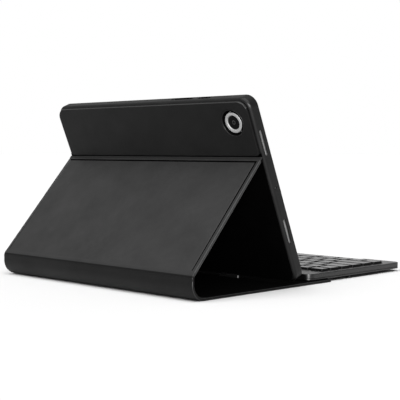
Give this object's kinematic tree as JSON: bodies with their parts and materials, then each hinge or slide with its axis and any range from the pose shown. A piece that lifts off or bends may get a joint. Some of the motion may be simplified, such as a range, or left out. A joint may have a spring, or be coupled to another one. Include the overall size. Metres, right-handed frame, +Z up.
{
  "type": "tablet keyboard case",
  "caption": "Folio case that folds into a stand, with a soft tray holding a tablet and a detachable magnetic keyboard on its base panel.",
  "frame": {"origin": "on the underside of the base panel, in the middle of the width, under the lower back edge of the standing tray", "axes": "+Z up, +Y to the back of the stand, +X to the right of the person typing"},
  "size_m": [0.2504, 0.2888, 0.1614],
  "materials": {
    "cover_leather": "fine grained black synthetic leather",
    "spine_leather": "fine grained black synthetic leather, creased",
    "stiffener_board": "grey pressed board",
    "microfibre_lining": "black microfibre",
    "soft_tray": "matt black soft moulding",
    "magnet_steel": "plated magnet",
    "tablet_aluminium": "blasted aluminium",
    "display_glass": "black glossy display glass",
    "camera_ring_metal": "bright turned aluminium",
    "lens_glass": "black coated lens",
    "keyboard_plastic": "matt black moulded plastic",
    "key_plastic": "matt dark key plastic",
    "dome_rubber": "black silicone sheet",
    "plate_steel": "pressed steel plate",
    "circuit_green": "green lacquered circuit board",
    "battery_foil": "foil pouch",
    "indicator_plastic": "smoky clear plastic"
  },
  "bodies": {
    "base": {"base_cover": "cover_leather", "base_board": "stiffener_board", "base_lining": "microfibre_lining", "base_magnet_strip": "magnet_steel", "tray_stop_left": "cover_leather", "tray_stop_right": "cover_leather"},
    "spine": {"spine_cover": "spine_leather", "spine_board": "stiffener_board", "spine_lining": "microfibre_lining"},
    "flap": {"flap_cover": "cover_leather", "flap_board": "stiffener_board", "flap_lining": "microfibre_lining"},
    "tray": {"tray": "soft_tray", "upper_panel_cover": "cover_leather", "upper_panel_board": "stiffener_board", "fold_strip": "spine_leather"},
    "tablet": {"tablet_housing": "tablet_aluminium", "display_glass": "display_glass", "camera_ring": "camera_ring_metal", "camera_lens": "lens_glass"},
    "volume_key": {"volume_key": "tablet_aluminium"},
    "power_key": {"power_key": "tablet_aluminium"},
    "keyboard": {"keyboard_upper_case": "keyboard_plastic", "keyboard_lower_case": "keyboard_plastic", "dome_sheet": "dome_rubber", "support_plate": "plate_steel", "circuit_board": "circuit_green", "battery_cell": "battery_foil", "usb_socket": "plate_steel", "indicator_window": "indicator_plastic", "rest_pad": "cover_leather"},
    "power_switch": {"power_switch": "keyboard_plastic"},
    "key_escape": {"key_escape": "key_plastic"},
    "key_block_function": {"key_block_function": "key_plastic"},
    "key_delete": {"key_delete": "key_plastic"},
    "key_block_numbers": {"key_block_numbers": "key_plastic"},
    "key_backspace": {"key_backspace": "key_plastic"},
    "key_tab": {"key_tab": "key_plastic"},
    "key_block_letters_upper": {"key_block_letters_upper": "key_plastic"},
    "key_backslash": {"key_backslash": "key_plastic"},
    "key_caps_lock": {"key_caps_lock": "key_plastic"},
    "key_block_letters_home": {"key_block_letters_home": "key_plastic"},
    "key_enter": {"key_enter": "key_plastic"},
    "key_shift_left": {"key_shift_left": "key_plastic"},
    "key_block_letters_lower": {"key_block_letters_lower": "key_plastic"},
    "key_shift_right": {"key_shift_right": "key_plastic"},
    "key_arrow_up": {"key_arrow_up": "key_plastic"},
    "key_function_shift": {"key_function_shift": "key_plastic"},
    "key_control": {"key_control": "key_plastic"},
    "key_option": {"key_option": "key_plastic"},
    "key_command_left": {"key_command_left": "key_plastic"},
    "key_space": {"key_space": "key_plastic"},
    "key_command_right": {"key_command_right": "key_plastic"},
    "key_symbols": {"key_symbols": "key_plastic"},
    "key_arrow_left": {"key_arrow_left": "key_plastic"},
    "key_arrow_down": {"key_arrow_down": "key_plastic"},
    "key_arrow_right": {"key_arrow_right": "key_plastic"}
  },
  "joints": [
    {"name": "case_opening", "type": "hinge", "parent": "base", "child": "spine", "pos_m": [0, 0.12262, 0.00378], "axis": [-1, 0, 0], "range_deg": [0, 90]},
    {"name": "flap_fold", "type": "hinge", "parent": "spine", "child": "flap", "pos_m": [0, 0.1253, 0.0196], "axis": [-1, 0, 0], "range_deg": [0, 41.34]},
    {"name": "tray_fold", "type": "hinge", "parent": "flap", "child": "tray", "pos_m": [0, 0.0458, 0.10995], "axis": [1, 0, 0], "range_deg": [0, 63.74]},
    {"name": "keyboard_lift", "type": "slide", "parent": "base", "child": "keyboard", "axis": [0, 0, 1], "range_m": [0, 0.03]},
    {"name": "lift_out_tablet", "type": "slide", "parent": "tray", "child": "tablet", "axis": [0, -0.9245, 0.3811], "range_m": [0, 0.009]},
    {"name": "press_power_key", "type": "slide", "parent": "tablet", "child": "power_key", "axis": [0, -0.3811, -0.9245], "range_m": [0, 0.0004], "stiffness_N_per_m": 1500, "springref_m": -0.0003},
    {"name": "press_volume_key", "type": "slide", "parent": "tablet", "child": "volume_key", "axis": [0, -0.3811, -0.9245], "range_m": [0, 0.0004], "stiffness_N_per_m": 1500, "springref_m": -0.0003},
    {"name": "slide_power_switch", "type": "slide", "parent": "keyboard", "child": "power_switch", "axis": [0, -1, 0], "range_m": [0, 0.002]},
    {"name": "press_escape", "type": "slide", "parent": "keyboard", "child": "key_escape", "axis": [0, 0, -1], "range_m": [0, 0.001], "stiffness_N_per_m": 500, "springref_m": -0.0005},
    {"name": "press_block_function", "type": "slide", "parent": "keyboard", "child": "key_block_function", "axis": [0, 0, -1], "range_m": [0, 0.001], "stiffness_N_per_m": 2400, "springref_m": -0.0005},
    {"name": "press_delete", "type": "slide", "parent": "keyboard", "child": "key_delete", "axis": [0, 0, -1], "range_m": [0, 0.001], "stiffness_N_per_m": 500, "springref_m": -0.0005},
    {"name": "press_block_numbers", "type": "slide", "parent": "keyboard", "child": "key_block_numbers", "axis": [0, 0, -1], "range_m": [0, 0.001], "stiffness_N_per_m": 2400, "springref_m": -0.0005},
    {"name": "press_backspace", "type": "slide", "parent": "keyboard", "child": "key_backspace", "axis": [0, 0, -1], "range_m": [0, 0.001], "stiffness_N_per_m": 500, "springref_m": -0.0005},
    {"name": "press_tab", "type": "slide", "parent": "keyboard", "child": "key_tab", "axis": [0, 0, -1], "range_m": [0, 0.001], "stiffness_N_per_m": 500, "springref_m": -0.0005},
    {"name": "press_block_letters_upper", "type": "slide", "parent": "keyboard", "child": "key_block_letters_upper", "axis": [0, 0, -1], "range_m": [0, 0.001], "stiffness_N_per_m": 2400, "springref_m": -0.0005},
    {"name": "press_backslash", "type": "slide", "parent": "keyboard", "child": "key_backslash", "axis": [0, 0, -1], "range_m": [0, 0.001], "stiffness_N_per_m": 500, "springref_m": -0.0005},
    {"name": "press_caps_lock", "type": "slide", "parent": "keyboard", "child": "key_caps_lock", "axis": [0, 0, -1], "range_m": [0, 0.001], "stiffness_N_per_m": 500, "springref_m": -0.0005},
    {"name": "press_block_letters_home", "type": "slide", "parent": "keyboard", "child": "key_block_letters_home", "axis": [0, 0, -1], "range_m": [0, 0.001], "stiffness_N_per_m": 2400, "springref_m": -0.0005},
    {"name": "press_enter", "type": "slide", "parent": "keyboard", "child": "key_enter", "axis": [0, 0, -1], "range_m": [0, 0.001], "stiffness_N_per_m": 500, "springref_m": -0.0005},
    {"name": "press_shift_left", "type": "slide", "parent": "keyboard", "child": "key_shift_left", "axis": [0, 0, -1], "range_m": [0, 0.001], "stiffness_N_per_m": 500, "springref_m": -0.0005},
    {"name": "press_block_letters_lower", "type": "slide", "parent": "keyboard", "child": "key_block_letters_lower", "axis": [0, 0, -1], "range_m": [0, 0.001], "stiffness_N_per_m": 2400, "springref_m": -0.0005},
    {"name": "press_shift_right", "type": "slide", "parent": "keyboard", "child": "key_shift_right", "axis": [0, 0, -1], "range_m": [0, 0.001], "stiffness_N_per_m": 500, "springref_m": -0.0005},
    {"name": "press_arrow_up", "type": "slide", "parent": "keyboard", "child": "key_arrow_up", "axis": [0, 0, -1], "range_m": [0, 0.001], "stiffness_N_per_m": 500, "springref_m": -0.0005},
    {"name": "press_function_shift", "type": "slide", "parent": "keyboard", "child": "key_function_shift", "axis": [0, 0, -1], "range_m": [0, 0.001], "stiffness_N_per_m": 500, "springref_m": -0.0005},
    {"name": "press_control", "type": "slide", "parent": "keyboard", "child": "key_control", "axis": [0, 0, -1], "range_m": [0, 0.001], "stiffness_N_per_m": 500, "springref_m": -0.0005},
    {"name": "press_option", "type": "slide", "parent": "keyboard", "child": "key_option", "axis": [0, 0, -1], "range_m": [0, 0.001], "stiffness_N_per_m": 500, "springref_m": -0.0005},
    {"name": "press_command_left", "type": "slide", "parent": "keyboard", "child": "key_command_left", "axis": [0, 0, -1], "range_m": [0, 0.001], "stiffness_N_per_m": 500, "springref_m": -0.0005},
    {"name": "press_space", "type": "slide", "parent": "keyboard", "child": "key_space", "axis": [0, 0, -1], "range_m": [0, 0.001], "stiffness_N_per_m": 500, "springref_m": -0.0005},
    {"name": "press_command_right", "type": "slide", "parent": "keyboard", "child": "key_command_right", "axis": [0, 0, -1], "range_m": [0, 0.001], "stiffness_N_per_m": 500, "springref_m": -0.0005},
    {"name": "press_symbols", "type": "slide", "parent": "keyboard", "child": "key_symbols", "axis": [0, 0, -1], "range_m": [0, 0.001], "stiffness_N_per_m": 500, "springref_m": -0.0005},
    {"name": "press_arrow_left", "type": "slide", "parent": "keyboard", "child": "key_arrow_left", "axis": [0, 0, -1], "range_m": [0, 0.001], "stiffness_N_per_m": 500, "springref_m": -0.0005},
    {"name": "press_arrow_down", "type": "slide", "parent": "keyboard", "child": "key_arrow_down", "axis": [0, 0, -1], "range_m": [0, 0.001], "stiffness_N_per_m": 500, "springref_m": -0.0005},
    {"name": "press_arrow_right", "type": "slide", "parent": "keyboard", "child": "key_arrow_right", "axis": [0, 0, -1], "range_m": [0, 0.001], "stiffness_N_per_m": 500, "springref_m": -0.0005}
  ],
  "couplings": [
    {"joint": "flap_fold", "follows": "case_opening", "ratio": 0.45936},
    {"joint": "tray_fold", "follows": "case_opening", "ratio": 0.70825}
  ]
}
